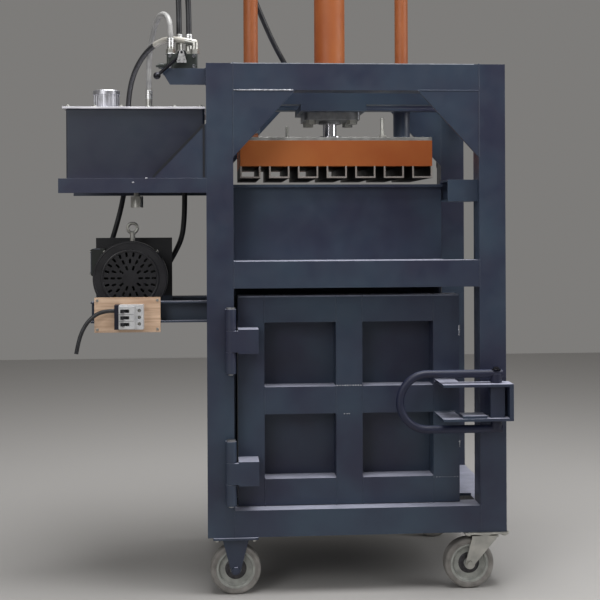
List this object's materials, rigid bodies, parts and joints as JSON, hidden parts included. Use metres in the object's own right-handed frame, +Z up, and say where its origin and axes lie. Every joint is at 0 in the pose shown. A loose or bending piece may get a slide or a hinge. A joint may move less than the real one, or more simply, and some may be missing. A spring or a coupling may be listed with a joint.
{
  "type": "metal chip compactor",
  "caption": "Upright hydraulic press on casters that squeezes metal chips in a chamber behind a hinged door.",
  "frame": {"origin": "middle of the footprint on the floor, measured without the hoses and the supply cable", "axes": "+Z up, -Y towards the front with the door, +X to the right seen from the front"},
  "size_m": [1.3394, 0.773, 2.235],
  "materials": {
    "frame_paint": "satin navy enamel, sprayed over welded tube",
    "platen_paint": "worn orange-brown enamel",
    "tank_paint": "satin dark grey-blue enamel",
    "cowl_steel": "satin grey enamel on pressed steel",
    "motor_iron": "painted cast iron with fins",
    "bare_steel": "machined and mill finish steel",
    "bright_rod": "hard chromed and ground",
    "zinc_plate": "bright zinc plated",
    "black_plastic": "moulded black plastic",
    "white_plastic": "moulded off-white plastic",
    "plywood": "sanded plywood",
    "hose_black": "smooth black hose cover",
    "hose_grey": "light grey hose cover",
    "caster_tyre": "grey solid rubber tyre and rim"
  },
  "bodies": {
    "frame": {"corner_posts": "frame_paint", "cross_beams": "frame_paint", "side_rails": "frame_paint", "corner_gussets": "frame_paint", "chamber_walls": "bare_steel", "hopper_front": "frame_paint", "crosshead": "frame_paint", "guide_sleeves": "frame_paint", "cylinder_barrel": "platen_paint", "cylinder_gland": "bare_steel", "frame_hinges": "frame_paint", "hinge_pins": "bare_steel", "oil_tank": "tank_paint", "tank_lid": "zinc_plate", "tank_brackets": "frame_paint", "breather_cap": "bright_rod", "valve_arm": "frame_paint", "valve_body": "motor_iron", "motor_housing": "motor_iron", "fan_cowl": "cowl_steel", "terminal_box": "motor_iron", "lifting_eye": "zinc_plate", "pump_bellhousing": "motor_iron", "gear_pump": "motor_iron", "motor_rails": "frame_paint", "breaker_board": "plywood", "circuit_breaker": "white_plastic", "fixed_casters": "frame_paint", "swivel_plates": "zinc_plate", "frame_bolts": "zinc_plate", "hose_fittings": "zinc_plate", "return_hose": "hose_grey", "pressure_hose": "hose_black", "suction_hose": "hose_black", "lower_hose": "hose_black", "upper_hose": "hose_black", "supply_cable": "hose_black"},
    "platen": {"platen_box": "platen_paint", "platen_cover": "bare_steel", "platen_channels": "bare_steel", "guide_tubes": "platen_paint", "piston_rod": "bright_rod", "platen_studs": "zinc_plate"},
    "door": {"door_frame": "frame_paint", "door_panels": "frame_paint", "door_hinges": "frame_paint", "latch_strap": "frame_paint"},
    "latch_handle": {"latch_cam": "frame_paint", "latch_handle": "frame_paint"},
    "valve_lever": {"valve_lever": "bright_rod"},
    "breaker_toggle": {"breaker_toggle": "black_plastic"},
    "rotor": {"motor_fan": "black_plastic", "motor_shaft": "bare_steel"},
    "swivel_front": {"fork_front": "zinc_plate"},
    "swivel_rear": {"fork_rear": "zinc_plate"},
    "wheel_front_left": {"wheel_front_left": "caster_tyre"},
    "wheel_front_right": {"wheel_front_right": "caster_tyre"},
    "wheel_rear_left": {"wheel_rear_left": "caster_tyre"},
    "wheel_rear_right": {"wheel_rear_right": "caster_tyre"}
  },
  "joints": [
    {"name": "door_swing", "type": "hinge", "parent": "frame", "child": "door", "pos_m": [-0.16575, -0.319, 0.571], "axis": [0, 0, -1], "range_deg": [0, 120]},
    {"name": "platen_slide", "type": "slide", "parent": "frame", "child": "platen", "axis": [0, 0, -1], "range_m": [0, 0.62]},
    {"name": "latch_handle_swing", "type": "hinge", "parent": "door", "child": "latch_handle", "pos_m": [0.62225, -0.3475, 0.5765], "axis": [0, 0, 1], "range_deg": [0, 120]},
    {"name": "valve_lever_swing", "type": "hinge", "parent": "frame", "child": "valve_lever", "pos_m": [-0.30775, -0.2545, 1.616], "axis": [0, 1, 0], "range_deg": [-18, 18], "stiffness_Nm_per_rad": 4},
    {"name": "breaker_toggle_swing", "type": "hinge", "parent": "frame", "child": "breaker_toggle", "pos_m": [-0.47475, -0.3245, 0.834], "axis": [0, 0, 1], "range_deg": [0, 50]},
    {"name": "motor_spin", "type": "hinge", "parent": "frame", "child": "rotor", "pos_m": [-0.46675, -0.1015, 0.944], "axis": [0, 1, 0], "continuous": true},
    {"name": "wheel_front_left_spin", "type": "hinge", "parent": "frame", "child": "wheel_front_left", "pos_m": [-0.15275, -0.2595, 0.075], "axis": [0, 1, 0], "continuous": true},
    {"name": "swivel_front_turn", "type": "hinge", "parent": "frame", "child": "swivel_front", "pos_m": [0.60225, -0.2595, 0.16], "axis": [0, 0, 1], "continuous": true},
    {"name": "wheel_front_right_spin", "type": "hinge", "parent": "swivel_front", "child": "wheel_front_right", "pos_m": [0.55425, -0.2595, 0.075], "axis": [0, 1, 0], "continuous": true},
    {"name": "wheel_rear_left_spin", "type": "hinge", "parent": "frame", "child": "wheel_rear_left", "pos_m": [-0.15275, 0.3365, 0.075], "axis": [0, 1, 0], "continuous": true},
    {"name": "swivel_rear_turn", "type": "hinge", "parent": "frame", "child": "swivel_rear", "pos_m": [0.60225, 0.3365, 0.16], "axis": [0, 0, 1], "continuous": true},
    {"name": "wheel_rear_right_spin", "type": "hinge", "parent": "swivel_rear", "child": "wheel_rear_right", "pos_m": [0.55425, 0.3365, 0.075], "axis": [0, 1, 0], "continuous": true}
  ]
}
